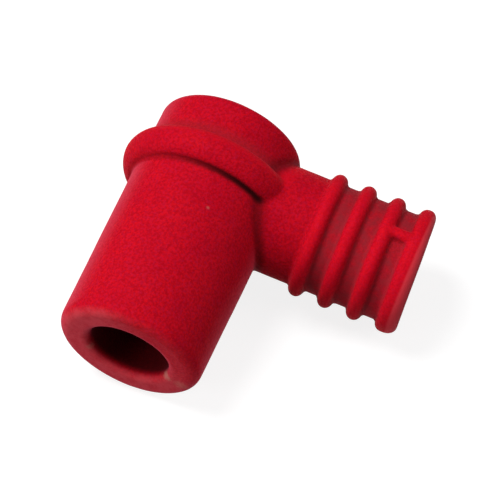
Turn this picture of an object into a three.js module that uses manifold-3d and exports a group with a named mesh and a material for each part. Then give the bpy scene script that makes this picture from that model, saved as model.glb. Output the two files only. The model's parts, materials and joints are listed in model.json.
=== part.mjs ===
// A right-angled spark plug cap: one moulded silicone boot with a snap-on contact inside it.
// Millimetres. The cap is drawn upright first, with the plug entering along +Z from below and
// the cable entering along +X, and is then laid down on its side, the way it comes to rest.
import * as THREE from "three";
import { mergeVertices } from "three/addons/utils/BufferGeometryUtils.js";
import Module from "manifold-3d";

// Boot, outside: a barrel with a bead round it and a plain head above the bead.
const barrelRadius = 11.05;
const mouthRadius = 10.85; // the barrel narrows a little towards the mouth
const headRadius = 11.05;
const capHeight = 39.05;
const headEdgeRound = 1.3;
const mouthEdgeRound = 1.75;
const beadHeight = 29.75; // middle of the bead, above the mouth
const beadProud = 2.4; // how far the bead stands out of the barrel
const beadHalfWidth = 2.7;

// Boot, outside: the ribbed neck that takes the cable.
const neckAxisHeight = 29.3; // above the mouth
const neckRadius = 8.23;
const neckReach = 32.6; // plug axis to the neck's end face
const neckRiseDegrees = 0.9; // the soft neck is bent this much towards the head
const neckEndRound = 0.9;
const ribCount = 4;
const ribPitch = 4.54;
const ribProud = 1.3;
const ribHalfWidth = 1.2;
const endLand = 0.65; // from the crown of the last rib to the rounded edge of the end face
const ribLeanDegrees = 0.6; // the ribs are moulded out of square, their upper side further out
const endSlantDegrees = -2.3; // and the end face is out of square the other way
const webRadius = 1.1; // the small web moulded between the last two ribs
const webProud = 1.0;
const webTurnDegrees = -3; // round the neck, from the side that faces up when the cap lies down

// Boot, inside.
const plugBoreRadius = 6.1; // skirt over the shoulder of the plug's insulator
const plugLipRound = 1.1;
const skirtDepth = 7.0;
const skirtTaper = 2.0;
const gripRadius = 5.25; // seals on a 10.5 mm insulator
const cableBoreRadius = 3.5; // seals on a 7 mm lead
const cableLipRound = 0.6;
const seatClearance = 0.3; // between the boot and the contact in it

// Contact socket, turned in brass: it snaps over the plug's terminal.
const socketFoot = 17.0; // above the mouth
const socketRadius = 4.3;
const socketHeadRise = 3.7; // metal above the cable screw's axis
const socketEdge = 0.4; // chamfer on both ends
const terminalBoreRadius = 3.3; // for a 6.35 mm terminal nut
const terminalBoreDepth = 8.4;
const drillPointDepth = 1.2;
const flangeRise = 5.3; // underside of the flange, above the foot
const flangeRadius = 6.0;
const flangeThickness = 1.4;

// Retaining spring: a bent wire whose two legs cross the socket's bore through slots.
const springWireRadius = 0.4;
const springRise = 2.5; // above the socket's foot
const springLegOffset = 2.9; // plug axis to the middle of each leg
const springTail = 4.2; // how far the open ends reach past the plug axis
const springCornerEase = 0.8; // how far from each corner the wire starts to bend
const springClearance = 0.3;

// Cable screw: its tail sits in the socket's head, its point takes the cable's core.
const screwTailRadius = 1.7;
const screwTailDepth = 2.2; // how far the tail passes the plug axis
const screwCollarRadius = 2.9;
const screwCollarThickness = 1.2;
const screwCoreRadius = 1.45;
const screwLength = 12.0; // collar to point
const screwPointLength = 4.5;
const screwClearance = 0.3;

// How finely the round forms are cut.
const barrelSegments = 48;
const neckSegments = 40;
const boreSegments = 36;
const metalSegments = 36;
const webSegments = 12;
const cornerSteps = 4;
const beadSteps = 8;
const ribSteps = 6;
const springSteps = 44;
const springSides = 8;
const overrun = 1.0; // how far a cutting tool runs out past the face it cuts
const settlingRounds = 20; // refinements of the direction in which the cap comes to rest

const wasm = await Module();
wasm.setup();

// A closed three.js geometry as a manifold solid.
function solidOf(geometry) {
  const bare = geometry.clone();
  bare.deleteAttribute("normal");
  bare.deleteAttribute("uv");
  const merged = mergeVertices(bare, 1e-4);
  const corners = Array.from(merged.index.array);
  const triangles = [];
  for (let i = 0; i < corners.length; i += 3) {
    const [a, b, c] = corners.slice(i, i + 3);
    if (a !== b && b !== c && c !== a) triangles.push(a, b, c);
  }
  return new wasm.Manifold(
    new wasm.Mesh({
      numProp: 3,
      vertProperties: merged.attributes.position.array,
      triVerts: new Uint32Array(triangles),
    }),
  );
}

// A manifold solid as a named three.js mesh.
function meshOf(solid, name, material) {
  const made = solid.getMesh();
  const geometry = new THREE.BufferGeometry();
  geometry.setAttribute(
    "position",
    new THREE.BufferAttribute(new Float32Array(made.vertProperties), 3),
  );
  geometry.setIndex(new THREE.BufferAttribute(new Uint32Array(made.triVerts), 1));
  geometry.computeVertexNormals();
  const mesh = new THREE.Mesh(geometry, material);
  mesh.name = name;
  return mesh;
}

// Points along an arc of an ellipse, ends included. Each point is (radius, place along the axis).
function arc(radius, along, radialSize, axialSize, fromDegrees, toDegrees, steps) {
  const points = [];
  for (let i = 0; i <= steps; i++) {
    const turn = THREE.MathUtils.degToRad(
      fromDegrees + ((toDegrees - fromDegrees) * i) / steps,
    );
    points.push(
      new THREE.Vector2(
        radius + radialSize * Math.cos(turn),
        along + axialSize * Math.sin(turn),
      ),
    );
  }
  return points;
}

function point(radius, along) {
  return new THREE.Vector2(radius, along);
}

// A profile turned round the plug axis. It runs from the axis, outwards and up, back to the axis.
function turnedUpright(profile, segments) {
  return solidOf(new THREE.LatheGeometry(profile, segments).rotateX(Math.PI / 2));
}

// A profile turned round +X, still at the origin.
function turnedAlongX(profile, segments) {
  return new THREE.LatheGeometry(profile, segments).rotateZ(-Math.PI / 2);
}

// A form drawn along +X, put at the height where the cable comes in.
function atNeckHeight(geometry) {
  return solidOf(geometry.translate(0, 0, neckAxisHeight));
}

// The same for the soft neck, which is out of square and bent towards the head.
function asNeckLies(geometry) {
  const corners = geometry.attributes.position;
  const lean = Math.tan(THREE.MathUtils.degToRad(ribLeanDegrees));
  const slant = Math.tan(THREE.MathUtils.degToRad(endSlantDegrees));
  for (let i = 0; i < corners.count; i++) {
    const reach = corners.getX(i);
    const share = (reach - lastRibReach) / (neckReach - lastRibReach);
    const skew = THREE.MathUtils.lerp(lean, slant, THREE.MathUtils.clamp(share, 0, 1));
    corners.setX(i, reach + corners.getZ(i) * skew);
  }
  return atNeckHeight(geometry.rotateY(THREE.MathUtils.degToRad(-neckRiseDegrees)));
}

// The boot

function barrelProfile() {
  const mouthCorner = mouthRadius - mouthEdgeRound;
  const headCorner = headRadius - headEdgeRound;
  return [
    point(0, 0),
    ...arc(mouthCorner, mouthEdgeRound, mouthEdgeRound, mouthEdgeRound, -90, 0, cornerSteps),
    ...arc(barrelRadius, beadHeight, beadProud, beadHalfWidth, -90, 0, beadSteps / 2),
    ...arc(
      headRadius,
      beadHeight,
      barrelRadius + beadProud - headRadius,
      beadHalfWidth,
      0,
      90,
      beadSteps / 2,
    ).slice(1),
    ...arc(headCorner, capHeight - headEdgeRound, headEdgeRound, headEdgeRound, 0, 90, cornerSteps),
    point(0, capHeight),
  ];
}

const lastRibReach = neckReach - neckEndRound - endLand;

function ribReach(index) {
  return lastRibReach - (ribCount - 1 - index) * ribPitch;
}

function neckProfile() {
  const profile = [point(0, 0), point(neckRadius, 0)];
  for (let i = 0; i < ribCount - 1; i++) {
    profile.push(...arc(neckRadius, ribReach(i), ribProud, ribHalfWidth, -90, 90, ribSteps));
  }
  profile.push(
    ...arc(neckRadius, lastRibReach, ribProud, ribHalfWidth, -90, 0, ribSteps / 2),
    ...arc(
      neckRadius + ribProud - neckEndRound,
      neckReach - neckEndRound,
      neckEndRound,
      neckEndRound,
      0,
      90,
      cornerSteps,
    ),
    point(0, neckReach),
  );
  return profile;
}

// The web lies along the neck, from the last rib but one to the last rib.
function ribWeb() {
  const bar = new THREE.CylinderGeometry(webRadius, webRadius, ribPitch, webSegments);
  bar.rotateZ(-Math.PI / 2);
  bar.translate(lastRibReach - ribPitch / 2, -(neckRadius + webProud - webRadius), 0);
  return asNeckLies(bar.rotateX(THREE.MathUtils.degToRad(webTurnDegrees)));
}

const shoulderHeight = socketFoot - seatClearance;
const flangeTop = socketFoot + flangeRise + flangeThickness;
const socketTop = neckAxisHeight + socketHeadRise;

function plugCavityProfile() {
  const rim = plugBoreRadius + plugLipRound;
  return [
    point(0, -overrun),
    point(rim, -overrun),
    ...arc(rim, plugLipRound, plugLipRound, plugLipRound, 270, 180, cornerSteps),
    point(plugBoreRadius, skirtDepth),
    point(gripRadius, skirtDepth + skirtTaper),
    point(gripRadius, shoulderHeight),
    point(flangeRadius + seatClearance, shoulderHeight),
    point(flangeRadius + seatClearance, flangeTop + seatClearance),
    point(socketRadius + seatClearance, flangeTop + seatClearance),
    point(socketRadius + seatClearance, socketTop + seatClearance),
    point(0, socketTop + seatClearance),
  ];
}

function cableBoreProfile() {
  const rim = cableBoreRadius + cableLipRound;
  return [
    point(0, 0),
    point(cableBoreRadius, 0),
    ...arc(rim, neckReach - cableLipRound, cableLipRound, cableLipRound, 180, 90, cornerSteps),
    point(rim, neckReach + overrun),
    point(0, neckReach + overrun),
  ];
}

function boot() {
  const outside = turnedUpright(barrelProfile(), barrelSegments)
    .add(asNeckLies(turnedAlongX(neckProfile(), neckSegments)))
    .add(ribWeb());
  const inside = turnedUpright(plugCavityProfile(), boreSegments).add(
    asNeckLies(turnedAlongX(cableBoreProfile(), boreSegments)),
  );
  return outside.subtract(inside);
}

// The contact in it

const springHeight = socketFoot + springRise;
const springHalfGap = springWireRadius + springClearance;

function socketProfile() {
  const boreTop = socketFoot + terminalBoreDepth;
  const groove = socketRadius - springClearance;
  return [
    point(0, boreTop + drillPointDepth),
    point(terminalBoreRadius, boreTop),
    point(terminalBoreRadius, socketFoot + socketEdge),
    point(terminalBoreRadius + socketEdge, socketFoot),
    point(socketRadius - socketEdge, socketFoot),
    point(socketRadius, socketFoot + socketEdge),
    point(socketRadius, springHeight - springHalfGap),
    point(groove, springHeight - springHalfGap),
    point(groove, springHeight + springHalfGap),
    point(socketRadius, springHeight + springHalfGap),
    point(socketRadius, socketFoot + flangeRise),
    point(flangeRadius, socketFoot + flangeRise),
    point(flangeRadius, flangeTop),
    point(socketRadius, flangeTop),
    point(socketRadius, socketTop - socketEdge),
    point(socketRadius - socketEdge, socketTop),
    point(0, socketTop),
  ];
}

// One slot for each leg of the spring, cut through the wall from outside.
function springSlot(side) {
  const inner = springLegOffset - springHalfGap;
  const depth = socketRadius + overrun - inner;
  const slot = new THREE.BoxGeometry(2 * (socketRadius + overrun), depth, 2 * springHalfGap);
  return solidOf(slot.translate(0, side * (inner + depth / 2), springHeight));
}

function screwHole() {
  const radius = screwTailRadius + screwClearance;
  const from = -(screwTailDepth + screwClearance);
  const profile = [
    point(0, from),
    point(radius, from),
    point(radius, socketRadius + overrun),
    point(0, socketRadius + overrun),
  ];
  return atNeckHeight(turnedAlongX(profile, metalSegments));
}

function contactSocket() {
  return turnedUpright(socketProfile(), metalSegments)
    .subtract(springSlot(1))
    .subtract(springSlot(-1))
    .subtract(screwHole());
}

// The wire runs in along one leg, round the cable side of the socket and out along the other.
function springRoute() {
  const bend = socketRadius + springWireRadius;
  const corner = Math.asin(springLegOffset / bend);
  const roundFrom = corner - springCornerEase / bend;
  const legTo = bend * Math.cos(corner) - springCornerEase;
  const inwards = [
    new THREE.Vector3(-springTail, -springLegOffset, springHeight),
    new THREE.Vector3(0, -springLegOffset, springHeight),
    new THREE.Vector3(legTo, -springLegOffset, springHeight),
    new THREE.Vector3(bend * Math.cos(roundFrom), -bend * Math.sin(roundFrom), springHeight),
  ];
  const acrossPlug = new THREE.Vector3(1, -1, 1);
  const outwards = inwards.map((place) => place.clone().multiply(acrossPlug)).reverse();
  const route = [...inwards, new THREE.Vector3(bend, 0, springHeight), ...outwards];
  return new THREE.CatmullRomCurve3(route, false, "centripetal");
}

function retainingSpring() {
  const section = new THREE.Shape();
  for (let i = 0; i < springSides; i++) {
    const turn = (2 * Math.PI * i) / springSides;
    const corner = [springWireRadius * Math.cos(turn), springWireRadius * Math.sin(turn)];
    if (i === 0) section.moveTo(...corner);
    else section.lineTo(...corner);
  }
  section.closePath();
  return solidOf(
    new THREE.ExtrudeGeometry(section, { steps: springSteps, extrudePath: springRoute() }),
  );
}

function cableScrew() {
  const collarFoot = socketRadius + screwClearance;
  const collarTop = collarFoot + screwCollarThickness;
  const tip = collarTop + screwLength;
  const profile = [
    point(0, -screwTailDepth),
    point(screwTailRadius, -screwTailDepth),
    point(screwTailRadius, collarFoot),
    point(screwCollarRadius, collarFoot),
    point(screwCollarRadius, collarTop),
    point(screwCoreRadius, collarTop),
    point(screwCoreRadius, tip - screwPointLength),
    point(0, tip),
  ];
  return atNeckHeight(turnedAlongX(profile, metalSegments));
}

// Lying down: the bead, the mouth's rim and the last rib all touch the surface. Each is a ring,
// given by its middle, its axis, the radius of its centre line and its thickness.

const plugAxis = new THREE.Vector3(0, 0, 1);
const cableAxis = tippedToHead(neckRiseDegrees);
const ribAxis = tippedToHead(neckRiseDegrees - ribLeanDegrees);

function tippedToHead(degrees) {
  const angle = THREE.MathUtils.degToRad(degrees);
  return new THREE.Vector3(Math.cos(angle), 0, Math.sin(angle));
}

const restingRings = [
  {
    middle: new THREE.Vector3(0, 0, beadHeight),
    axis: plugAxis,
    radius: barrelRadius,
    thickness: beadProud,
  },
  {
    middle: new THREE.Vector3(0, 0, mouthEdgeRound),
    axis: plugAxis,
    radius: mouthRadius - mouthEdgeRound,
    thickness: mouthEdgeRound,
  },
  {
    middle: cableAxis
      .clone()
      .multiplyScalar(lastRibReach)
      .add(new THREE.Vector3(0, 0, neckAxisHeight)),
    axis: ribAxis,
    radius: neckRadius,
    thickness: ribProud,
  },
];

// The direction that points up from the surface, in the upright cap's frame. Side -Y faces up.
function upwards() {
  let up = new THREE.Vector3(0, -1, 0);
  for (let round = 0; round < settlingRounds; round++) {
    const depths = restingRings.map(
      ({ axis, radius, thickness }) =>
        radius * Math.sqrt(1 - axis.dot(up) ** 2) + thickness,
    );
    const [bead, mouth, rib] = restingRings.map(({ middle }) => middle);
    const toMouth = mouth.clone().sub(bead);
    const toRib = rib.clone().sub(bead);
    const mouthRise = depths[1] - depths[0];
    const ribRise = depths[2] - depths[0];
    const spread = toMouth.x * toRib.z - toMouth.z * toRib.x;
    const x = (mouthRise * toRib.z - toMouth.z * ribRise) / spread;
    const z = (toMouth.x * ribRise - mouthRise * toRib.x) / spread;
    up = new THREE.Vector3(x, -Math.sqrt(1 - x * x - z * z), z);
  }
  return up;
}

// Turns the upright cap so that up becomes +Z and the cable leaves towards +X.
function layDown(group) {
  const up = upwards();
  const along = cableAxis.clone().addScaledVector(up, -cableAxis.dot(up)).normalize();
  const across = up.clone().cross(along);
  const turn = new THREE.Matrix4().makeBasis(along, across, up).transpose();
  group.quaternion.setFromRotationMatrix(turn);
  group.updateMatrixWorld(true);
  const box = new THREE.Box3().setFromObject(group, true);
  const middle = box.getCenter(new THREE.Vector3());
  group.position.set(-middle.x, -middle.y, -box.min.z);
}

const siliconeRed = new THREE.MeshStandardMaterial({
  color: 0xb9071d,
  roughness: 0.62,
  metalness: 0,
});
const brass = new THREE.MeshStandardMaterial({
  color: 0xb08d4a,
  roughness: 0.35,
  metalness: 1,
});
const springSteel = new THREE.MeshStandardMaterial({
  color: 0x8c8f94,
  roughness: 0.3,
  metalness: 1,
});
const platedSteel = new THREE.MeshStandardMaterial({
  color: 0xb9bcc0,
  roughness: 0.32,
  metalness: 1,
});

const cap = new THREE.Group();
cap.add(meshOf(boot(), "boot", siliconeRed));
cap.add(meshOf(contactSocket(), "contact_socket", brass));
cap.add(meshOf(retainingSpring(), "retaining_spring", springSteel));
cap.add(meshOf(cableScrew(), "cable_screw", platedSteel));
layDown(cap);

const root = new THREE.Group();
root.add(cap);
export default root;
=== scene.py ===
"""A right-angled spark plug cap of red silicone rubber, lying on its side on a pale floor.

Sizes are in millimetres in the cap's own frame: the plug axis is +Z, with the mouth at height 0,
and the cable leaves towards +X. Each finished mesh is then laid, in metres, where the CAD model
lies.
"""

import json
import logging
import math
from collections.abc import Iterable, Sequence
from dataclasses import dataclass, field
from enum import Enum

import bmesh
import bpy
from mathutils import Matrix, Quaternion, Vector, noise

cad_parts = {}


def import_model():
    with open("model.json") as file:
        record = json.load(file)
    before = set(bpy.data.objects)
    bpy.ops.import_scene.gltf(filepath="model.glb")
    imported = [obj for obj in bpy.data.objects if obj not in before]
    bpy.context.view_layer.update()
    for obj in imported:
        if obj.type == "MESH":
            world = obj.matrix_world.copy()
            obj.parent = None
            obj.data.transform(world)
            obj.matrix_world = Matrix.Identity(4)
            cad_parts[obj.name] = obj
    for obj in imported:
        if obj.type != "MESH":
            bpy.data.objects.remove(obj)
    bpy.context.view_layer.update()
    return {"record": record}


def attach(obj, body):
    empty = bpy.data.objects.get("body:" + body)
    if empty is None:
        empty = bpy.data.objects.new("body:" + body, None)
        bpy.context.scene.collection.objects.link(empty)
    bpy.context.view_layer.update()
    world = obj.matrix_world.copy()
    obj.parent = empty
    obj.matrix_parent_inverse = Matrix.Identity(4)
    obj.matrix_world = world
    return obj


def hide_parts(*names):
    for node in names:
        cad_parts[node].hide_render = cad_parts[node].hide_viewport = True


LOG = logging.getLogger("spark_plug_cap")

MM = 0.001  # a millimetre, in metres
SEAM = 1e-4  # points closer than this many millimetres are one point
SLIVER = 1e-3  # the same after a cut
OVERRUN = 1.0  # how far a cutting tool stands out of what it cuts
CABLE_AXIS = 29.3  # height of the cable's axis above the mouth
MOUTH_MARK = 8.2  # from the plug axis to the point that marks the mouth in the record
ORIGIN = (0.0, 0.0, 0.0)
UP = (0.0, 0.0, 1.0)

Solid = bmesh.types.BMesh
Thing = bpy.types.Object
Material = bpy.types.Material
Node = bpy.types.Node
Socket = bpy.types.NodeSocket
Pair = tuple[float, float]
Point = tuple[float, float, float]
Colour = tuple[float, float, float]
Profile = list[Pair]  # (radius, height), from the axis and back to it


class Slot(Enum):
    """The record's material slots."""

    RUBBER = "silicone_rubber"
    BRASS = "brass"
    SPRING = "spring_steel"
    PLATED = "plated_steel"


class Join(Enum):
    """How one solid meets another."""

    ADD = "UNION"
    CUT = "DIFFERENCE"


# Shapes


def clamp(value: float, low: float, high: float) -> float:
    """Return a value, held between two limits."""
    return min(max(value, low), high)


def arc(middle: Pair, size: Pair, span: Pair, steps: int) -> Profile:
    """List the points along an arc of an ellipse, both ends included.

    Args:
        middle: Radius and height of the ellipse's middle.
        size: Half the ellipse's size along the radius and along the axis.
        span: Angles of the first and the last point in degrees, from the outward direction.
        steps: Number of steps between them.

    Returns:
        The points, in order.
    """
    start, end = span
    turns = [math.radians(start + (end - start) * i / steps) for i in range(steps + 1)]
    return [(middle[0] + size[0] * math.cos(t), middle[1] + size[1] * math.sin(t)) for t in turns]


def closed_up(bm: Solid) -> Solid:
    """Merge the points at a solid's seams and poles, and turn its faces outwards."""
    bmesh.ops.remove_doubles(bm, verts=bm.verts, dist=SEAM)
    bmesh.ops.recalc_face_normals(bm, faces=bm.faces)
    return bm


def turned(profile: Profile, steps: int) -> Solid:
    """Spin a profile once round +Z into a closed solid.

    Args:
        profile: The section, which starts and ends on the axis.
        steps: Number of faces round the axis.

    Returns:
        The solid, with its seam and poles closed and its faces pointing outwards.
    """
    bm = bmesh.new()
    corners = [bm.verts.new((radius, 0.0, height)) for radius, height in profile]
    sides = [bm.edges.new(pair) for pair in zip(corners, corners[1:])]
    bmesh.ops.spin(
        bm,
        geom=corners + sides,
        cent=ORIGIN,
        axis=UP,
        dvec=ORIGIN,
        angle=math.tau,
        steps=steps,
        use_merge=True,
        use_duplicate=False,
    )
    return closed_up(bm)


def move(bm: Solid, way: Point) -> Solid:
    """Move a solid."""
    bmesh.ops.translate(bm, verts=bm.verts, vec=way)
    return bm


def tilt(bm: Solid, degrees: float, axis: str) -> Solid:
    """Turn a solid about the frame's X, Y or Z."""
    turn = Matrix.Rotation(math.radians(degrees), 3, axis)
    bmesh.ops.rotate(bm, verts=bm.verts, cent=ORIGIN, matrix=turn)
    return bm


def lay_along_x(bm: Solid) -> Solid:
    """Turn a solid that stands on +Z so that it points along +X."""
    return tilt(bm, 90, "Y")


def lift(bm: Solid, height: float) -> Solid:
    """Move a solid up the plug axis."""
    return move(bm, (0.0, 0.0, height))


def without_slivers(bm: Solid) -> Solid:
    """Close up the slivers that a cut leaves, and split the faces into triangles."""
    bmesh.ops.remove_doubles(bm, verts=bm.verts, dist=SLIVER)
    bmesh.ops.dissolve_degenerate(bm, dist=SLIVER, edges=bm.edges)
    bmesh.ops.triangulate(bm, faces=bm.faces)
    return bm


def smooth(bm: Solid, corners: Sequence[bmesh.types.BMVert], factor: float) -> None:
    """Smooth some of a solid's corners once."""
    bmesh.ops.smooth_vert(
        bm, verts=corners, factor=factor, use_axis_x=True, use_axis_y=True, use_axis_z=True
    )


def as_mesh(bm: Solid, name: str) -> bpy.types.Mesh:
    """Write a solid to a new mesh, which uses it up."""
    mesh = bpy.data.meshes.new(name)
    bm.to_mesh(mesh)
    bm.free()
    return mesh


def placed(name: str, data: bpy.types.ID) -> Thing:
    """Make an object and put it in the scene.

    Args:
        name: The object's name.
        data: Its mesh, curve, lamp or camera.

    Returns:
        The object.
    """
    made = bpy.data.objects.new(name, data)
    bpy.context.scene.collection.objects.link(made)
    return made


def finished(base: Thing) -> Solid:
    """Read an object's shape as its modifiers leave it.

    Args:
        base: The object, which stays as it is.

    Returns:
        The shape.
    """
    graph = bpy.context.evaluated_depsgraph_get()
    mesh = bpy.data.meshes.new_from_object(base.evaluated_get(graph), depsgraph=graph)
    bm = bmesh.new()
    bm.from_mesh(mesh)
    bpy.data.meshes.remove(mesh)
    return bm


class Workbench:
    """Holds solids for a while as objects, so that modifiers can work on them."""

    def __init__(self) -> None:
        """Start with nothing on the bench."""
        self.held: list[Thing] = []

    def hold(self, bm: Solid, name: str) -> Thing:
        """Put a solid on the bench, which uses it up, and return its object."""
        self.held.append(placed(name, as_mesh(bm, name)))
        return self.held[-1]

    def join(self, base: Thing, tools: Iterable[Thing], how: Join) -> None:
        """Add solids to a base, or cut them out of it.

        Args:
            base: The solid that is changed.
            tools: The solids that are added or cut.
            how: Which of the two.
        """
        for tool in tools:
            joint = base.modifiers.new(f"{how.name} {tool.name}", "BOOLEAN")
            joint.operation = how.value
            joint.object = tool
            joint.solver = "EXACT"

    def clear(self) -> None:
        """Take everything off the bench."""
        for holder in self.held:
            mesh = holder.data
            bpy.data.objects.remove(holder)
            bpy.data.meshes.remove(mesh)
        self.held.clear()


@dataclass(frozen=True)
class Lie:
    """Where the cap lies: its own frame, in millimetres, to the CAD model's, in metres."""

    matrix: Matrix

    @classmethod
    def read(cls, record: dict) -> "Lie":
        """Work out the lie from the record's two faces.

        Args:
            record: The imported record.

        Returns:
            The lie.
        """
        faces = {mount["name"]: mount for mount in record["mounts"]}
        mouth = faces["plug_mouth"]
        up = -Vector(mouth["axis"]).normalized()
        across = up.cross(Vector(faces["cable_entry"]["axis"])).normalized()
        along = across.cross(up)
        origin = Vector(mouth["pos_m"]) + across * MOUTH_MARK * MM
        turn = Matrix((along, across, up)).transposed().to_4x4()
        return cls(Matrix.Translation(origin) @ turn @ Matrix.Scale(MM, 4))

    def piece(self, bm: Solid, name: str, material: Material) -> Thing:
        """Lay a finished solid in place as an object of the scene.

        Args:
            bm: The solid in the cap's own frame, which is used up.
            name: The piece's name.
            material: Its finish.

        Returns:
            The object, at the origin, with its place in its mesh.
        """
        bmesh.ops.transform(bm, matrix=self.matrix, verts=bm.verts)
        for face in bm.faces:
            face.smooth = True
        mesh = as_mesh(bm, name)
        mesh.materials.append(material)
        return placed(name, mesh)


# Pieces


@dataclass
class Neck:
    """The ribbed neck that takes the cable, drawn along +X and then set out of square."""

    axis_height: float = CABLE_AXIS
    radius: float = 8.23
    reach: float = 32.8
    rise: float = 1.2  # degrees, towards the head
    end_round: float = 1.4
    rib_count: int = 4
    rib_pitch: float = 4.54
    rib_proud: float = 1.3
    rib_half_width: float = 1.2
    end_land: float = 0.35  # from the last rib's crown to the rounding of the end
    rib_lean: float = 0.6  # degrees
    end_slant: float = -2.3  # degrees
    web_radius: float = 0.95
    web_proud: float = 1.25
    web_turn: float = -3.0  # degrees
    bore_radius: float = 3.5
    lip_round: float = 0.6
    steps: int = 256
    rib_steps: int = 16
    web_steps: int = 48
    lip_steps: int = 8

    def rib_reach(self, index: int) -> float:
        """Return how far a rib's crown is from the plug axis."""
        last = self.reach - self.end_round - self.end_land
        return last - (self.rib_count - 1 - index) * self.rib_pitch

    def skew(self, reach: float) -> float:
        """Return how far out of square the neck is at a distance from the plug axis."""
        last = self.rib_reach(self.rib_count - 1)
        share = clamp((reach - last) / (self.reach - last), 0.0, 1.0)
        lean = math.tan(math.radians(self.rib_lean))
        slant = math.tan(math.radians(self.end_slant))
        return lean + (slant - lean) * share

    def set_in_place(self, bm: Solid) -> Solid:
        """Set a form that lies along +X out of square, and tip and lift it to its place."""
        for corner in bm.verts:
            corner.co.x += corner.co.z * self.skew(corner.co.x)
        return lift(tilt(bm, -self.rise, "Y"), self.axis_height)

    def own_place(self, place: Vector) -> Pair:
        """Return a point's distance along the neck and from its axis."""
        down = Vector((place.x, place.y, place.z - self.axis_height))
        down.rotate(Matrix.Rotation(math.radians(self.rise), 3, "Y"))
        return down.x - down.z * self.skew(down.x), math.hypot(down.y, down.z)

    def outside(self) -> Solid:
        """Turn the neck with its ribs, the last of which runs into the end."""
        rib = (self.rib_proud, self.rib_half_width)
        end = self.end_round
        profile: Profile = [(0.0, 0.0), (self.radius, 0.0)]
        for index, stop in enumerate([90] * (self.rib_count - 1) + [0]):
            steps = self.rib_steps * (stop + 90) // 180
            profile += arc((self.radius, self.rib_reach(index)), rib, (-90, stop), steps)
        corner = (self.radius + self.rib_proud - end, self.reach - end)
        profile += arc(corner, (end, end), (0, 90), self.rib_steps // 2)
        profile.append((0.0, self.reach))
        return self.set_in_place(lay_along_x(turned(profile, self.steps)))

    def web(self) -> Solid:
        """Make the small web between the last two ribs."""
        bar = bmesh.new()
        bmesh.ops.create_cone(
            bar,
            cap_ends=True,
            segments=self.web_steps,
            radius1=self.web_radius,
            radius2=self.web_radius,
            depth=self.rib_pitch,
        )
        middle = self.rib_reach(self.rib_count - 1) - self.rib_pitch / 2
        side = self.radius + self.web_proud - self.web_radius
        move(lay_along_x(bar), (middle, -side, 0.0))
        return self.set_in_place(tilt(bar, self.web_turn, "X"))

    def bore(self) -> Solid:
        """Make the tool that cuts the cable's bore."""
        lip = self.lip_round
        rim = self.bore_radius + lip
        profile: Profile = [(0.0, 0.0), (self.bore_radius, 0.0)]
        profile += arc((rim, self.reach - lip), (lip, lip), (180, 90), self.lip_steps)
        profile += [(rim, self.reach + OVERRUN), (0.0, self.reach + OVERRUN)]
        return self.set_in_place(lay_along_x(turned(profile, self.steps // 2)))


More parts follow.
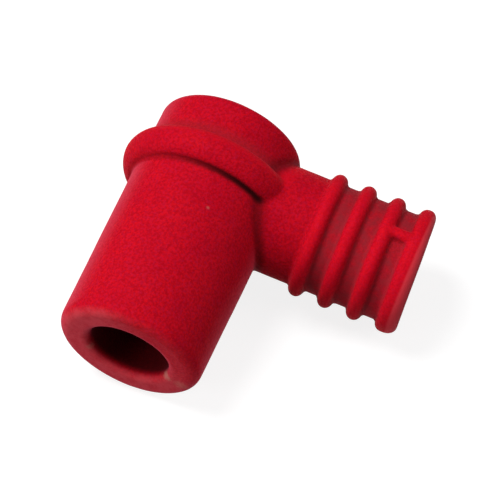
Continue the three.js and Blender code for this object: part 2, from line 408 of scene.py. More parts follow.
@dataclass
class Contact:
    """The metal that snaps onto the plug and bites into the cable's core."""

    foot: float = 17.0
    radius: float = 4.3
    head_rise: float = 3.7
    edge: float = 0.4
    bore_radius: float = 3.3
    bore_depth: float = 8.4
    drill_point: float = 1.2
    flange_rise: float = 5.3
    flange_radius: float = 6.0
    flange_thickness: float = 1.4
    clearance: float = 0.3  # round the spring, the screw and the socket
    wire_radius: float = 0.4
    wire_rise: float = 2.5
    wire_sides: int = 12  # round the wire's section
    bend_steps: int = 16
    leg_offset: float = 2.9
    tail: float = 4.2
    corner_ease: float = 0.8
    screw_tail_radius: float = 1.7
    screw_tail_depth: float = 2.2
    collar_radius: float = 2.9
    collar_thickness: float = 1.2
    screw_edge: float = 0.2
    screw_radius: float = 1.45
    screw_length: float = 12.0
    screw_point: float = 4.5
    thread_pitch: float = 1.5
    thread_depth: float = 0.45
    thread_foot: float = 0.42  # half the thread's width, in the core
    thread_crest: float = 0.07  # half its width, outside
    thread_sunk: float = 0.12  # how deep it starts inside the core
    thread_start: float = 0.3  # above the collar
    thread_end: float = 0.8  # short of the screw's tip
    thread_lead: float = 0.5  # how much earlier than its start it begins to rise
    thread_least: float = 0.02  # its share of its radius at the tip
    thread_steps: int = 36  # in one turn
    axis_height: float = CABLE_AXIS
    steps: int = 96

    @property
    def top(self) -> float:
        """Height of the socket's head."""
        return self.axis_height + self.head_rise

    @property
    def flange_top(self) -> float:
        """Height of the flange's upper side."""
        return self.foot + self.flange_rise + self.flange_thickness

    def socket(self) -> Solid:
        """Turn the socket, and cut its spring slots and the screw's hole."""
        wire = self.foot + self.wire_rise
        gap = self.wire_radius + self.clearance
        groove = self.radius - self.clearance
        bore_top = self.foot + self.bore_depth
        profile: Profile = [
            (0.0, bore_top + self.drill_point),
            (self.bore_radius, bore_top),
            (self.bore_radius, self.foot + self.edge),
            (self.bore_radius + self.edge, self.foot),
            (self.radius - self.edge, self.foot),
            (self.radius, self.foot + self.edge),
            (self.radius, wire - gap),
            (groove, wire - gap),
            (groove, wire + gap),
            (self.radius, wire + gap),
            (self.radius, self.foot + self.flange_rise),
            (self.flange_radius, self.foot + self.flange_rise),
            (self.flange_radius, self.flange_top),
            (self.radius, self.flange_top),
            (self.radius, self.top - self.edge),
            (self.radius - self.edge, self.top),
            (0.0, self.top),
        ]
        bench = Workbench()
        body = bench.hold(turned(profile, self.steps), "socket blank")
        tools = [bench.hold(self.slot(side, gap, wire), f"slot tool {side}") for side in (-1, 1)]
        tools.append(bench.hold(self.screw_hole(), "screw hole tool"))
        bench.join(body, tools, Join.CUT)
        made = without_slivers(finished(body))
        bench.clear()
        return made

    def slot(self, side: int, gap: float, height: float) -> Solid:
        """Make the tool that cuts one spring slot.

        Args:
            side: 1 or -1, for the slot's side of the plug axis.
            gap: Half the slot's height.
            height: Height of the slot's middle.

        Returns:
            The tool.
        """
        inner = self.leg_offset - gap
        outer = self.radius + OVERRUN
        bm = bmesh.new()
        bmesh.ops.create_cube(bm, size=1.0)
        bmesh.ops.scale(bm, verts=bm.verts, vec=(2 * outer, outer - inner, 2 * gap))
        return move(bm, (0.0, side * (inner + outer) / 2, height))

    def screw_hole(self) -> Solid:
        """Make the tool that cuts the hole for the cable screw."""
        radius = self.screw_tail_radius + self.clearance
        low = -(self.screw_tail_depth + self.clearance)
        high = self.radius + OVERRUN
        profile: Profile = [(0.0, low), (radius, low), (radius, high), (0.0, high)]
        return lift(lay_along_x(turned(profile, self.steps)), self.axis_height)

    def spring(self) -> Solid:
        """Bend the retaining wire: in along one leg, round the socket and out along the other."""
        bend = self.radius + self.wire_radius
        corner = math.asin(self.leg_offset / bend)
        start = corner - self.corner_ease / bend
        leg_end = bend * math.cos(corner) - self.corner_ease
        height = self.foot + self.wire_rise
        leg = [(along, -self.leg_offset) for along in (-self.tail, 0.0, leg_end)]
        turns = [start * (1 - 2 * i / self.bend_steps) for i in range(self.bend_steps + 1)]
        round_part = [(bend * math.cos(t), -bend * math.sin(t)) for t in turns]
        route = leg + round_part + [(x, -y) for x, y in reversed(leg)]
        curve = bpy.data.curves.new("spring wire", "CURVE")
        curve.dimensions = "3D"
        curve.bevel_depth = self.wire_radius
        curve.bevel_resolution = (self.wire_sides - 4) // 2  # each step adds two sides to four
        curve.use_fill_caps = True
        line = curve.splines.new("NURBS")
        line.points.add(len(route) - 1)
        for knot, (x, y) in zip(line.points, route):
            knot.co = (x, y, height, 1.0)
        line.order_u = 3
        line.use_endpoint_u = True
        line.resolution_u = 6
        wire = placed("spring wire", curve)
        made = finished(wire)
        bpy.data.objects.remove(wire)
        bpy.data.curves.remove(curve)
        return closed_up(made)

    def screw(self) -> Solid:
        """Turn the cable screw and wind its thread."""
        tail, collar, edge = self.screw_tail_radius, self.collar_radius, self.screw_edge
        foot = self.radius + self.clearance
        top = foot + self.collar_thickness
        tip = top + self.screw_length
        root = self.screw_radius - self.thread_depth
        profile: Profile = [
            (0.0, -self.screw_tail_depth),
            (tail - edge, -self.screw_tail_depth),
            (tail, -self.screw_tail_depth + edge),
            (tail, foot),
            (collar - edge, foot),
            (collar, foot + edge),
            (collar, top - edge),
            (collar - edge, top),
            (root, top),
            (root, tip - self.screw_point),
            (0.0, tip),
        ]
        thread = self.thread(root - self.thread_sunk, top + self.thread_start, tip)
        bench = Workbench()
        body = bench.hold(turned(profile, self.steps), "screw core")
        bench.join(body, [bench.hold(thread, "screw thread")], Join.ADD)
        made = finished(body)
        bench.clear()
        return lift(lay_along_x(made), self.axis_height)

    def thread(self, root: float, low: float, tip: float) -> Solid:
        """Wind the thread round +Z, and draw it in to nothing at the screw's point.

        Args:
            root: Radius at which the thread starts, inside the core.
            low: Height at which it starts.
            tip: Height of the screw's point.

        Returns:
            The thread as a closed solid.
        """
        run = tip - self.thread_end - low
        turns = run / self.thread_pitch
        count = round(turns * self.thread_steps)
        section = [
            (root, low - self.thread_foot),
            (self.screw_radius, low - self.thread_crest),
            (self.screw_radius, low + self.thread_crest),
            (root, low + self.thread_foot),
        ]
        bm = bmesh.new()
        face = bm.faces.new([bm.verts.new((radius, 0.0, height)) for radius, height in section])
        bmesh.ops.spin(
            bm,
            geom=[face],
            cent=ORIGIN,
            axis=UP,
            dvec=(0.0, 0.0, run / count),
            angle=turns * math.tau,
            steps=count,
            use_duplicate=False,
        )
        for corner in bm.verts:
            place = corner.co
            share = clamp((tip - place.z) / self.screw_point, self.thread_least, 1.0)
            lead = clamp((place.z - low + self.thread_lead) / self.thread_pitch, 0.0, 1.0)
            outward = math.hypot(place.x, place.y)
            wanted = root + (outward - root) * lead
            place.x *= wanted / outward * share
            place.y *= wanted / outward * share
        bmesh.ops.recalc_face_normals(bm, faces=bm.faces)
        return bm


@dataclass
class Boot:
    """The red moulding: a barrel with a bead and a head, the ribbed neck, and both bores."""

    contact: Contact
    neck: Neck = field(default_factory=Neck)
    barrel_radius: float = 11.05
    mouth_radius: float = 10.85
    height: float = 39.05
    head_round: float = 1.3
    mouth_round: float = 1.75
    bead_height: float = 29.75
    bead_proud: float = 2.4
    bead_half_width: float = 2.7
    bead_head_side: float = 2.3  # its half width on the side of the head
    plug_bore_radius: float = 6.1
    plug_lip_round: float = 1.1
    skirt_depth: float = 7.0
    skirt_taper: float = 2.0
    grip_radius: float = 5.25
    seat_clearance: float = 0.3
    steps: int = 288
    corner_steps: int = 12
    grain: float = 0.31  # edge of the even mesh
    bead_fillet: float = 1.3  # how far from the corner each fillet reaches
    root_fillet: float = 0.5
    bead_end_fillet: float = 0.9
    neck_margin: float = 0.3  # the bead's fillet stops this far inside the neck's wall
    bead_passes: int = 12
    root_passes: int = 5
    unevenness: float = 0.035  # how far the moulding strays from its true form
    broad_waves: float = 0.16  # the same, in waves to a millimetre
    near_waves: float = 0.55

    @property
    def crease(self) -> float:
        """Height of the line under the bead, where it meets the barrel."""
        return self.bead_height - self.bead_half_width

    @property
    def corner(self) -> float:
        """Height of the line above the bead, where it meets the head."""
        return self.bead_height + self.bead_head_side

    def barrel(self) -> Solid:
        """Turn the barrel with its bead and head."""
        mouth, head = self.mouth_round, self.head_round
        bead = (self.barrel_radius, self.bead_height)
        steps = self.corner_steps
        profile: Profile = [(0.0, 0.0)]
        profile += arc((self.mouth_radius - mouth, mouth), (mouth, mouth), (-90, 0), steps)
        profile += arc(bead, (self.bead_proud, self.bead_half_width), (-90, 0), 2 * steps)
        profile += arc(bead, (self.bead_proud, self.bead_head_side), (0, 90), 2 * steps)
        top_corner = (self.barrel_radius - head, self.height - head)
        profile += arc(top_corner, (head, head), (0, 90), steps)
        profile.append((0.0, self.height))
        return turned(profile, self.steps)

    def plug_cavity(self) -> Solid:
        """Make the tool that cuts the room for the plug and the contact."""
        lip = self.plug_lip_round
        rim = self.plug_bore_radius + lip
        gap = self.seat_clearance
        shoulder = self.contact.foot - gap
        flange = self.contact.flange_radius + gap
        chamber = self.contact.radius + gap
        profile: Profile = [(0.0, -OVERRUN), (rim, -OVERRUN)]
        profile += arc((rim, lip), (lip, lip), (270, 180), self.corner_steps)
        profile += [
            (self.plug_bore_radius, self.skirt_depth),
            (self.grip_radius, self.skirt_depth + self.skirt_taper),
            (self.grip_radius, shoulder),
            (flange, shoulder),
            (flange, self.contact.flange_top + gap),
            (chamber, self.contact.flange_top + gap),
            (chamber, self.contact.top + gap),
            (0.0, self.contact.top + gap),
        ]
        return turned(profile, self.steps)

    def at_bead_top(self, place: Vector) -> bool:
        """Tell whether a point is near the line where the bead meets the head."""
        off_barrel = math.hypot(place.x, place.y) - self.barrel_radius
        near = math.hypot(off_barrel, place.z - self.corner) < self.bead_fillet
        return near and self.neck.own_place(place)[1] > self.neck.radius - self.neck_margin

    def at_neck_root(self, place: Vector) -> bool:
        """Tell whether a point is near the line where the neck leaves the barrel or the bead."""
        off_barrel = math.hypot(place.x, place.y) - self.barrel_radius
        off_neck = abs(self.neck.own_place(place)[1] - self.neck.radius)
        oval = math.hypot(
            off_barrel / self.bead_proud, (place.z - self.bead_height) / self.bead_half_width
        )
        off_bead = abs(oval - 1) * self.bead_proud
        on_barrel = max(abs(off_barrel), off_neck) < self.root_fillet
        on_bead = max(off_bead, off_neck) < self.bead_end_fillet
        return place.x > 0 and (on_barrel or on_bead)

    def even_out(self, bench: Workbench, body: Thing) -> Solid:
        """Cover the exact solid with an even mesh that lies on its surface.

        Args:
            bench: The workbench.
            body: The exact solid.

        Returns:
            The even mesh.
        """
        exact = bench.hold(finished(body), "exact boot")
        even = bench.hold(finished(exact), "even boot")
        remesh = even.modifiers.new("Even mesh", "REMESH")
        remesh.mode = "VOXEL"
        remesh.voxel_size = self.grain
        wrap = even.modifiers.new("Back onto the surface", "SHRINKWRAP")
        wrap.target = exact
        wrap.wrap_method = "NEAREST_SURFACEPOINT"
        return finished(even)

    def soften(self, bm: Solid) -> None:
        """Round the inside corners, then let the whole surface stray a little, as rubber does.

        Args:
            bm: The moulding, which is changed.
        """
        fillets = ((self.at_bead_top, self.bead_passes), (self.at_neck_root, self.root_passes))
        for is_close, passes in fillets:
            corners = [corner for corner in bm.verts if is_close(corner.co)]
            for _ in range(passes):
                smooth(bm, corners, 0.5)
        smooth(bm, list(bm.verts), 0.25)
        bm.normal_update()
        for corner in bm.verts:
            broad = noise.noise(corner.co * self.broad_waves)
            near = noise.noise(corner.co * self.near_waves + Vector((7.0, 3.0, 5.0)))
            corner.co += corner.normal * self.unevenness * (broad + 0.5 * near)

    def build(self) -> Solid:
        """Join the outside, cut the bores, and soften the corners."""
        bench = Workbench()
        body = bench.hold(self.barrel(), "barrel")
        outside = [bench.hold(self.neck.outside(), "neck"), bench.hold(self.neck.web(), "web")]
        tools = [
            bench.hold(self.plug_cavity(), "plug cavity"),
            bench.hold(self.neck.bore(), "cable bore"),
        ]
        bench.join(body, outside, Join.ADD)
        bench.join(body, tools, Join.CUT)
        made = self.even_out(bench, body)
        bench.clear()
        self.soften(made)
        return made


# Materials


class Nodes:
    """Adds and joins the nodes of one material, world or group."""

    def __init__(self, tree: bpy.types.NodeTree) -> None:
        """Work on a node tree."""
        self.tree = tree

    @classmethod
    def blank(cls, owner: Material | bpy.types.World) -> "Nodes":
        """Empty the node tree of a material or a world, to work on it from the start."""
        owner.use_nodes = True
        owner.node_tree.nodes.clear()
        return cls(owner.node_tree)

    def put(self, value: object, socket: Socket) -> None:
        """Fill a socket.

        Args:
            value: An output to join to it, or a value of its own, in which a colour has three
                numbers.
            socket: The socket.
        """
        if isinstance(value, bpy.types.NodeSocket):
            self.tree.links.new(value, socket)
        elif socket.type == "RGBA":
            socket.default_value = (*value, 1.0)
        else:
            socket.default_value = value

    def fill(self, node: Node, **inputs: object) -> None:
        """Fill a node's sockets.

        Args:
            node: The node.
            inputs: What to put in them, by name with _ for a space, or by number as at0, at1
                and so on.
        """
        for key, value in inputs.items():
            label = int(key[2:]) if key.startswith("at") else key.replace("_", " ")
            self.put(value, node.inputs[label])

    def add(self, kind: str, settings: dict | None = None, **inputs: object) -> Node:
        """Add a node.

        Args:
            kind: The node's type, without its ShaderNode prefix.
            settings: Properties of the node itself.
            inputs: What to put in its sockets, as fill takes them.

        Returns:
            The node.
        """
        node = self.tree.nodes.new(f"ShaderNode{kind}")
        for key, value in (settings or {}).items():
            setattr(node, key, value)
        self.fill(node, **inputs)
        return node

    def effect(self, tree: bpy.types.NodeTree, **inputs: object) -> Node:
        """Add a shared effect, with its sockets filled by name."""
        return self.add("Group", {"node_tree": tree}, **inputs)

    def math(self, operation: str, *values: object) -> Socket:
        """Return the result of a sum."""
        inputs = {f"at{i}": value for i, value in enumerate(values)}
        return self.add("Math", {"operation": operation}, **inputs).outputs[0]

    def times(self, first: object, *others: object) -> object:
        """Return the product of some values."""
        for other in others:
            first = self.math("MULTIPLY", first, other)
        return first

    def hypot(self, first: object, second: object) -> Socket:
        """Return how far two offsets at right angles lead together."""
        flat = self.add("CombineXYZ", X=first, Y=second)
        return self.add("VectorMath", {"operation": "LENGTH"}, at0=flat.outputs[0]).outputs["Value"]

    def ramp(self, value: object, low: float, high: float) -> Socket:
        """Return how far a value has come from low to high, eased, from 0 to 1."""
        settings = {"interpolation_type": "SMOOTHSTEP"}
        return self.add("MapRange", settings, Value=value, From_Min=low, From_Max=high).outputs[0]

    def mixed(self, share: object, first: object, second: object) -> Socket:
        """Return a mix of two colours, with a share of the second."""
        return self.add("Mix", {"data_type": "RGBA"}, at0=share, at6=first, at7=second).outputs[2]

    def noise(self, place: Socket, scale: object, detail: float, rough: float = 0.5) -> Socket:
        """Return a noise value, in features of about 1/scale millimetres."""
        node = self.add("TexNoise", Vector=place, Scale=scale, Detail=detail, Roughness=rough)
        return node.outputs[0]

    def seen(self) -> Socket:
        """Return 1 for the rays that show the background: camera, transmission and glossy."""
        path = self.add("LightPath").outputs
        seen = self.math("MAXIMUM", path["Is Camera Ray"], path["Is Transmission Ray"])
        return self.math("MAXIMUM", seen, path["Is Glossy Ray"])


class Effects:
    """Shader node groups that more than one finish uses."""

    def __init__(self) -> None:
        """Build the groups once."""
        self.mottle = self.build_mottle()
        self.scuff = self.build_scuff()

    @staticmethod
    def group(
        name: str, values: dict[str, float], masks: Sequence[str]
    ) -> tuple[Nodes, Node, Node]:
        """Start a node group that reads a place and some values, and puts out masks.

        Args:
            name: The group's name.
            values: Name and default of each value.
            masks: Name of each mask.

        Returns:
            A helper for its nodes, and its input and output nodes.
        """
        tree = bpy.data.node_groups.new(name, "ShaderNodeTree")
        tree.interface.new_socket("Place", in_out="INPUT", socket_type="NodeSocketVector")
        for label, start in values.items():
            value = tree.interface.new_socket(label, in_out="INPUT", socket_type="NodeSocketFloat")
            value.default_value = start
        for label in masks:
            tree.interface.new_socket(label, in_out="OUTPUT", socket_type="NodeSocketFloat")
        given, out = (tree.nodes.new(f"NodeGroup{end}") for end in ("Input", "Output"))
        return Nodes(tree), given, out

    def build_mottle(self) -> bpy.types.NodeTree:
        """Build the uneven colour of a surface: broad patches and a fine speckle."""
        scales = {"Patch Scale": 0.25, "Speckle Scale": 2.5}
        nodes, given, out = self.group("mottle", scales, ("Patches", "Speckle"))
        place, patch_scale, speckle_scale = given.outputs[:3]
        patches = nodes.noise(place, patch_scale, detail=4.0)
        speckle = nodes.noise(place, speckle_scale, detail=3.0, rough=0.6)
        nodes.put(nodes.ramp(patches, 0.34, 0.66), out.inputs[0])
        nodes.put(nodes.ramp(speckle, 0.36, 0.64), out.inputs[1])
        return nodes.tree

    def build_scuff(self) -> bpy.types.NodeTree:
        """Build broken-up rub marks: a mask that is 1 where the surface is rubbed."""
        nodes, given, out = self.group("scuff", {"Scale": 0.8, "Amount": 0.5}, ("Mask",))
        place, scale, amount = given.outputs[:3]
        level = nodes.math("ADD", nodes.noise(place, scale, detail=6.0, rough=0.7), amount)
        nodes.put(nodes.ramp(level, 0.85, 1.15), out.inputs[0])
        return nodes.tree


class Paint:
    """A new material with its Principled shader and its place in the cap's own frame."""

    def __init__(self, name: str, lie: Lie) -> None:
        """Make the material, and read Object coordinates as millimetres in the cap's frame.

        Args:
            name: The material's name.
            lie: Where the cap lies.
        """
        self.material = bpy.data.materials.new(name)
        self.material.use_nodes = True
        tree = self.material.node_tree
        self.nodes = Nodes(tree)
        self.shader = next(node for node in tree.nodes if node.type == "BSDF_PRINCIPLED")
        origin, turn, _ = lie.matrix.decompose()
        mapping = self.nodes.add(
            "Mapping",
            {"vector_type": "TEXTURE"},
            Vector=self.nodes.add("TexCoord").outputs["Object"],
            Location=origin,
            Rotation=turn.to_euler("XYZ"),
            Scale=(MM, MM, MM),
        )
        self.place = mapping.outputs[0]

    def feed(self, **inputs: object) -> None:
        """Fill the shader's sockets, by name with _ for a space."""
        self.nodes.fill(self.shader, **inputs)

    def bump(self, height: Socket, depth: float, strength: float) -> None:
        """Give the surface a fine relief.

        Args:
            height: The relief, from 0 to 1.
            depth: Its depth in millimetres.
            strength: How much of it shows.
        """
        node = self.nodes.add("Bump", Height=height, Distance=depth * MM, Strength=strength)
        self.feed(Normal=node.outputs[0])


@dataclass(frozen=True)
class PaleMark:
    """A small pale rub mark at one place on the rubber."""

    middle: Point
    radius: float
    strength: float


class RubberMasks:
    """Where the rubber is dusty, dirty or pale with rub marks, and where shade, highlights, sheen
    and light are painted on it, as masks from 0 to 1.
    """

    def __init__(self, paint: Paint, effects: Effects, boot: Boot) -> None:
        """Measure each point's place from the moulding's own axes.

        Args:
            paint: The rubber's paint.
            effects: The shared effects.
            boot: The moulding.
        """
        self.nodes = nodes = paint.nodes
        self.place = paint.place
        self.effects = effects
        self.boot = boot
        self.neck = neck = boot.neck
        self.wall = boot.barrel_radius + 0.15  # just outside the barrel's wall
        self.reach, across, self.height = nodes.add("SeparateXYZ", Vector=paint.place).outputs
        self.radius = nodes.hypot(self.reach, across)
        slope = math.tan(math.radians(neck.rise))
        drop = nodes.math("MULTIPLY_ADD", self.reach, -slope, -neck.axis_height)
        self.off_neck = nodes.hypot(across, nodes.math("ADD", self.height, drop))

    def fade(self, value: Socket, line: float, start: float, whole: float) -> Socket:
        """Return a mask that fades in beside a line of the moulding.

        Args:
            value: The measure that the line is a value of.
            line: The line.
            start: How far past the line the mask starts to show.
            whole: How far past the line it is whole.

        Returns:
            The mask.
        """
        return self.nodes.ramp(value, line + start, line + whole)

    def specked(self) -> Socket:
        """Mask the fine specks of dust that lie all over."""
        return self.nodes.ramp(self.nodes.noise(self.place, 3.1, detail=2.0), 0.46, 0.66)

    def bloom_and_painted_light_mask(self) -> Socket:
        """Mask the pale bloom: dust in patches on the mouth's face, and all over the neck's end,
        where it is partly dust and partly painted light.
        """
        nodes = self.nodes
        at_mouth = self.fade(self.height, 0.0, start=1.1, whole=0.0)
        dusty = nodes.effect(self.effects.scuff, Place=self.place, Scale=0.5, Amount=0.52)
        patchy = nodes.math("MULTIPLY_ADD", dusty.outputs["Mask"], 0.45, 0.4)
        lower_right = nodes.add(
            "VectorMath", {"operation": "DOT_PRODUCT"}, at0=self.place, at1=(0.71, -0.71, 0.0)
        )
        wiped = self.fade(lower_right.outputs["Value"], 0.0, start=1.5, whole=7.5)
        unwiped = nodes.math("MULTIPLY_ADD", wiped, -0.8, 1.0)
        # the neck's end: pale dust, and painted light on its face
        end_bloom_and_painted_light = self.fade(self.reach, self.neck.reach, start=-1.25, whole=-0.8)
        mouth_bloom = nodes.times(at_mouth, nodes.times(patchy, unwiped))
        return nodes.math("MAXIMUM", mouth_bloom, nodes.times(end_bloom_and_painted_light, 0.85))

    def painted_sheen_edges(self) -> Socket:
        """Mask the painted sheen where the barrel and the head turn away from the eye."""
        facing = self.nodes.add("LayerWeight", Blend=0.5).outputs["Facing"]
        on_barrel = self.fade(self.radius, self.wall, start=0.3, whole=-0.05)
        return self.nodes.times(self.nodes.ramp(facing, 0.45, 0.95), on_barrel)

    def inside(self) -> Socket:
        """Mask the painted shade in the plug's bore, up to the contact."""
        deep = self.fade(self.height, 0.0, start=0.3, whole=1.7)
        within = self.fade(self.radius, self.boot.plug_bore_radius, start=0.9, whole=0.2)
        below = self.nodes.math("LESS_THAN", self.height, self.boot.contact.foot + 0.5)
        return self.nodes.times(deep, within, below)

    def painted_highlight_crowns(self) -> Socket:
        """Mask the painted highlight on the crowns of the ribs and on the bead's upper side."""
        off_rib = self.fade(self.off_neck, self.neck.radius, start=0.6, whole=1.2)
        far_out = self.fade(self.radius, self.wall, start=3.0, whole=4.0)
        proud = self.fade(self.radius, self.wall, start=0.3, whole=1.3)
        upper = self.fade(self.height, self.boot.bead_height, start=-0.1, whole=0.9)
        close = self.fade(self.radius, self.wall, start=3.0, whole=2.4)
        ribs = self.nodes.times(off_rib, far_out)
        return self.nodes.math("MAXIMUM", ribs, self.nodes.times(proud, upper, close))

    def painted_shade_corner(self) -> Socket:
        """Mask the painted shade, dull and dark, in the corner between the bead and the head."""
        rising = self.fade(self.height, self.boot.corner, start=-0.3, whole=0.3)
        falling = self.fade(self.height, self.boot.corner, start=2.6, whole=0.6)
        inner = self.fade(self.radius, self.wall, start=0.6, whole=0.0)
        return self.nodes.times(rising, falling, inner)

    def painted_shade_and_dirt_grooves(self) -> Socket:
        """Mask the grooves between the ribs, where painted shade and dirt darken the rubber in
        patches.
        """
        low = self.fade(self.off_neck, self.neck.radius, start=0.9, whole=0.1)
        ribbed = self.fade(self.reach, self.neck.rib_reach(0), start=-0.2, whole=0.8)
        patches = self.nodes.ramp(self.nodes.noise(self.place, 0.7, detail=4.0), 0.3, 0.7)
        patchy = self.nodes.math("MULTIPLY_ADD", patches, 0.55, 0.4)
        return self.nodes.times(low, ribbed, patchy)

    def from_wall(self, other: Socket, line: float) -> Socket:
        """Return the distance from where another measure reaches a line at the barrel's wall."""
        off_wall = self.nodes.math("SUBTRACT", self.radius, self.wall)
        return self.nodes.hypot(off_wall, self.nodes.math("SUBTRACT", other, line))

    def painted_shade_root(self) -> Socket:
        """Mask the painted shade in the corner where the neck leaves the barrel."""
        away = self.from_wall(self.off_neck, self.neck.radius)
        near = self.fade(away, 0.0, start=1.5, whole=0.1)
        return self.nodes.times(near, self.nodes.math("GREATER_THAN", self.reach, 0.0))

    def painted_shade_crease(self) -> Socket:
        """Mask the painted shade in the crease under the bead, darkest towards the neck."""
        away = self.from_wall(self.height, self.boot.crease)
        near = self.fade(away, 0.0, start=0.95, whole=0.15)
        towards_neck = self.fade(self.reach, 0.0, start=-12.0, whole=6.0)
        return self.nodes.times(near, self.nodes.math("MULTIPLY_ADD", towards_neck, 0.75, 0.25))

    def marked(self, marks: Iterable[PaleMark]) -> object:
        """Mask the pale marks.

        Args:
            marks: The marks.

        Returns:
            The mask, with ragged edges.
        """
        nodes = self.nodes
        ragged = nodes.times(nodes.noise(self.place, 3.0, detail=4.0), 1.2)
        total: object = 0.0
        for mark in marks:
            away = nodes.add(
                "VectorMath", {"operation": "DISTANCE"}, at0=self.place, at1=mark.middle
            )
            share = nodes.math("DIVIDE", away.outputs["Value"], mark.radius)
            spot = nodes.ramp(nodes.math("ADD", share, ragged), 1.9, 0.9)
            total = nodes.math("MAXIMUM", total, nodes.times(spot, mark.strength))
        return total


@dataclass(frozen=True)
class SiliconeFinish:
    """Matte moulded silicone: deep red, finely mottled, with a dusty bloom at the mouth, with
    painted shade in its bore, corners, creases and grooves, and with a painted sheen and painted
    highlights.
    """

    boot: Boot
    slot: Slot = Slot.RUBBER
    red: Colour = (0.56, 0.0022, 0.013)
    deep_red: Colour = (0.34, 0.0010, 0.008)
    warm_red: Colour = (0.70, 0.0050, 0.010)
    # pale dust on the mouth; on the neck's end, pale dust with painted light
    bloom_and_painted_light: Colour = (0.66, 0.060, 0.080)
    dust: Colour = (0.46, 0.0060, 0.036)
    # painted sheen: the pink colour painted where the barrel and the head turn away from the eye
    edge: Colour = (0.60, 0.048, 0.088)
    # painted highlight: the bright red painted on the crowns of the ribs and the bead's upper side
    painted_highlight_red: Colour = (0.78, 0.0040, 0.016)
    rubbed: Colour = (0.50, 0.26, 0.20)
    # painted shade: the near-black colour painted into the plug's bore, the corner at the neck's
    # root and the crease under the bead
    painted_shade: Colour = (0.035, 0.002, 0.003)
    # painted shade and dirt: the dull colour painted above the bead as shade, and into the grooves
    # as shade and dirt
    painted_shade_and_dirt: Colour = (0.30, 0.017, 0.027)
    marks: tuple[PaleMark, ...] = (
        PaleMark((6.3, 2.0, 0.5), 0.85, 0.5),
        PaleMark((8.5, 2.3, 0.5), 1.2, 0.25),
        PaleMark((-5.7, 3.2, 0.5), 0.7, 0.22),
        PaleMark((2.37, -10.79, 21.04), 0.28, 0.25),
    )

    def material(self, lie: Lie, effects: Effects) -> Material:
        """Make the material.

        Args:
            lie: Where the cap lies.
            effects: The shared effects.

        Returns:
            The material.
        """
        paint = Paint(self.slot.value, lie)
        nodes, place = paint.nodes, paint.place
        mottle = nodes.effect(effects.mottle, Place=place, Patch_Scale=0.22, Speckle_Scale=2.6)
        patches, speckle = mottle.outputs
        masks = RubberMasks(paint, effects, self.boot)
        # Some coats are painted light: painted sheen, painted highlights, painted shade, and
        # painted light on the neck's end.
        coats = (  # where each coat lies, how much of it shows there, and its colour
            (patches, 0.35, self.warm_red),
            (speckle, 0.7, self.deep_red),
            (masks.specked(), 0.5, self.dust),
            # pale dust, with painted light on the neck's end
            (masks.bloom_and_painted_light_mask(), 1.0, self.bloom_and_painted_light),
            # painted sheen at the turning edges
            (masks.painted_sheen_edges(), 0.7, self.edge),
            # painted shade deep in the plug's bore
            (masks.inside(), 0.9, self.painted_shade),
            # painted highlight on the crowns
            (masks.painted_highlight_crowns(), 0.3, self.painted_highlight_red),
            # painted shade in the corner above the bead
            (masks.painted_shade_corner(), 0.4, self.painted_shade_and_dirt),
            # painted shade and dirt in the grooves between the ribs
            (masks.painted_shade_and_dirt_grooves(), 1.0, self.painted_shade_and_dirt),
            # painted shade in the corner at the neck's root
            (masks.painted_shade_root(), 0.6, self.painted_shade),
            # painted shade in the crease under the bead
            (masks.painted_shade_crease(), 1.0, self.painted_shade),
            (masks.marked(self.marks), 1.0, self.rubbed),
        )
        colour: object = self.red
        for mask, share, coat in coats:
            colour = nodes.mixed(nodes.times(mask, share), colour, coat)
        paint.feed(
            Base_Color=colour,
            Roughness=nodes.math("MULTIPLY_ADD", speckle, 0.14, 0.56),
            IOR=1.42,
            Specular_IOR_Level=0.03,
            Sheen_Weight=0.02,
            Sheen_Roughness=0.5,
            Sheen_Tint=(1.0, 0.55, 0.65),
        )
        grain = nodes.noise(place, 5.0, detail=3.0)
        relief = nodes.math("MULTIPLY_ADD", speckle, 0.5, grain)
        paint.bump(relief, depth=0.05, strength=0.5)
        return paint.material


@dataclass(frozen=True)
class MetalFinish:
    """A turned, drawn or plated metal."""

    slot: Slot
    bright: Colour
    dull: Colour
    roughness: float
    line_stretch: Point  # how the fine tool lines are stretched along X, Y and Z

    def material(self, lie: Lie, effects: Effects) -> Material:
        """Make the material.

        Args:
            lie: Where the cap lies.
            effects: The shared effects.

        Returns:
            The material.
        """
        paint = Paint(self.slot.value, lie)
        nodes, place = paint.nodes, paint.place
        mottle = nodes.effect(effects.mottle, Place=place, Patch_Scale=0.35, Speckle_Scale=3.0)
        worn = nodes.effect(effects.scuff, Place=place, Scale=0.9, Amount=0.5)
        stretched = nodes.add(
            "VectorMath", {"operation": "MULTIPLY"}, at0=place, at1=self.line_stretch
        )
        lines = nodes.noise(stretched.outputs[0], 1.0, detail=3.0)
        dulled = nodes.math("MAXIMUM", mottle.outputs["Patches"], worn.outputs["Mask"])
        paint.feed(
            Base_Color=nodes.mixed(nodes.times(dulled, 0.5), self.bright, self.dull),
            Roughness=nodes.math("MULTIPLY_ADD", lines, 0.22, self.roughness),
            Metallic=1.0,
        )
        paint.bump(lines, depth=0.02, strength=0.35)
        return paint.material


BRASS = MetalFinish(Slot.BRASS, (0.69, 0.50, 0.24), (0.40, 0.27, 0.12), 0.22, (1.2, 1.2, 14.0))
DRAWN = MetalFinish(Slot.SPRING, (0.56, 0.56, 0.57), (0.34, 0.33, 0.33), 0.2, (1.5, 9.0, 9.0))
PLATED = MetalFinish(Slot.PLATED, (0.74, 0.75, 0.76), (0.50, 0.50, 0.50), 0.24, (12.0, 1.5, 1.5))


# Studio


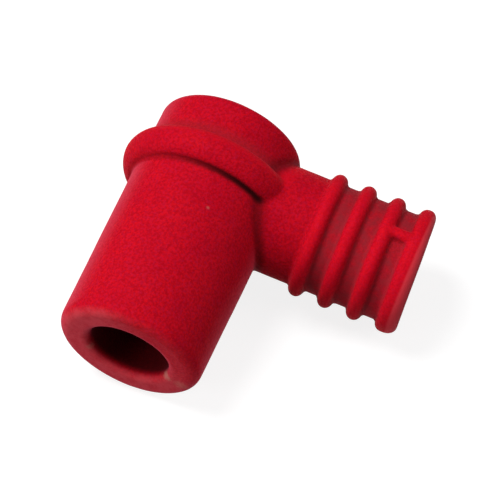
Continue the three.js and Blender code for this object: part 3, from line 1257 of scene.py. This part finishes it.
@dataclass(frozen=True)
class Camera:
    """The camera, placed as the photograph was taken. Distances are in metres."""

    azimuth: float = 18.0896
    elevation: float = 55.1398
    roll: float = -3.4210
    lens: float = 211.33
    sensor_width: float = 36.0
    distance: float = 0.42868
    aim: Point = (-0.001535, 0.005278, 0.008742)
    near: float = 0.01
    far: float = 10.0

    def place(self) -> None:
        """Make the camera and look through it."""
        side, rise = math.radians(self.azimuth), math.radians(self.elevation)
        across = math.cos(rise)
        back = Vector((math.sin(side) * across, -math.cos(side) * across, math.sin(rise)))
        data = bpy.data.cameras.new("camera")
        data.lens = self.lens
        data.sensor_width = self.sensor_width
        data.clip_start = self.near
        data.clip_end = self.far
        camera = placed("camera", data)
        camera.location = Vector(self.aim) + back * self.distance
        camera.rotation_mode = "QUATERNION"
        turn = Quaternion(-back, math.radians(self.roll))
        camera.rotation_quaternion = turn @ (-back).to_track_quat("-Z", "Y")
        bpy.context.scene.camera = camera


@dataclass(frozen=True)
class Lamp:
    """A soft round lamp that faces the cap. Its distance and width are in metres."""

    name: str
    direction: Point
    distance: float
    width: float
    power: float

    def place(self) -> None:
        """Hang the lamp."""
        data = bpy.data.lights.new(self.name, "AREA")
        data.shape = "DISK"
        data.size = self.width
        data.energy = self.power
        lamp = placed(self.name, data)
        towards = Vector(self.direction).normalized()
        lamp.location = towards * self.distance
        lamp.rotation_mode = "QUATERNION"
        lamp.rotation_quaternion = (-towards).to_track_quat("-Z", "Y")


@dataclass(frozen=True)
class Studio:
    """A plain pale floor under soft light."""

    floor_half: float = 3.0  # half the floor's side, in metres
    floor_grey: float = 0.30
    floor_lift: float = 0.84
    sky: float = 0.12
    lamps: tuple[Lamp, ...] = (
        Lamp("key softbox", (-0.427, -0.034, 0.899), 0.9, 0.5, 6.8),
        Lamp("left fill", (-0.695, -0.672, 0.254), 0.9, 0.4, 3.0),
        Lamp("right fill", (0.80, 0.02, 0.60), 1.0, 0.6, 2.1),
    )

    def floor(self) -> Thing:
        """Lay the floor, which the camera sees as white with the cap's soft shadow on it."""
        bm = bmesh.new()
        bmesh.ops.create_grid(bm, x_segments=1, y_segments=1, size=self.floor_half)
        mesh = as_mesh(bm, "floor")
        material = bpy.data.materials.new("pale floor")
        nodes = Nodes.blank(material)
        paint = nodes.add("BsdfDiffuse", Color=[self.floor_grey] * 3)
        glow = nodes.add("Emission", Strength=nodes.times(nodes.seen(), self.floor_lift))
        both = nodes.add("AddShader", at0=paint.outputs[0], at1=glow.outputs[0])
        nodes.add("OutputMaterial", Surface=both.outputs[0])
        mesh.materials.append(material)
        return placed("floor", mesh)

    def world(self) -> None:
        """Light the room evenly, and show the camera a white wall."""
        world = bpy.data.worlds.new("room")
        bpy.context.scene.world = world
        nodes = Nodes.blank(world)
        strength = nodes.math("MULTIPLY_ADD", nodes.seen(), 1.0 - self.sky, self.sky)
        background = nodes.add("Background", Color=(1.0, 1.0, 1.0), Strength=strength)
        nodes.add("OutputWorld", Surface=background.outputs[0])

    def set_up(self) -> None:
        """Lay the floor, light the room and hang the lamps."""
        self.floor()
        self.world()
        for lamp in self.lamps:
            lamp.place()


def show(piece: Thing, node: str) -> None:
    """Let a piece stand for its CAD node.

    Args:
        piece: The finished piece.
        node: The CAD node that it replaces.
    """
    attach(piece, "root")
    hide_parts(node)
    LOG.info("%s: %d faces", piece.name, len(piece.data.polygons))


def main() -> None:
    """Build the cap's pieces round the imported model, and the studio round the cap."""
    logging.basicConfig(level=logging.INFO, format="%(name)s: %(message)s")
    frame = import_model()
    lie = Lie.read(frame["record"])
    effects = Effects()
    contact = Contact()
    boot = Boot(contact)
    pieces = (
        ("boot_moulding", "boot", boot.build, SiliconeFinish(boot)),
        ("socket_turning", "contact_socket", contact.socket, BRASS),
        ("spring_wire", "retaining_spring", contact.spring, DRAWN),
        ("cable_screw_turning", "cable_screw", contact.screw, PLATED),
    )
    for name, node, build, finish in pieces:
        show(lie.piece(build(), name, finish.material(lie, effects)), node)
    Studio().set_up()
    Camera().place()
    bpy.context.scene.view_settings.view_transform = "Standard"


if __name__ == "__main__":
    main()
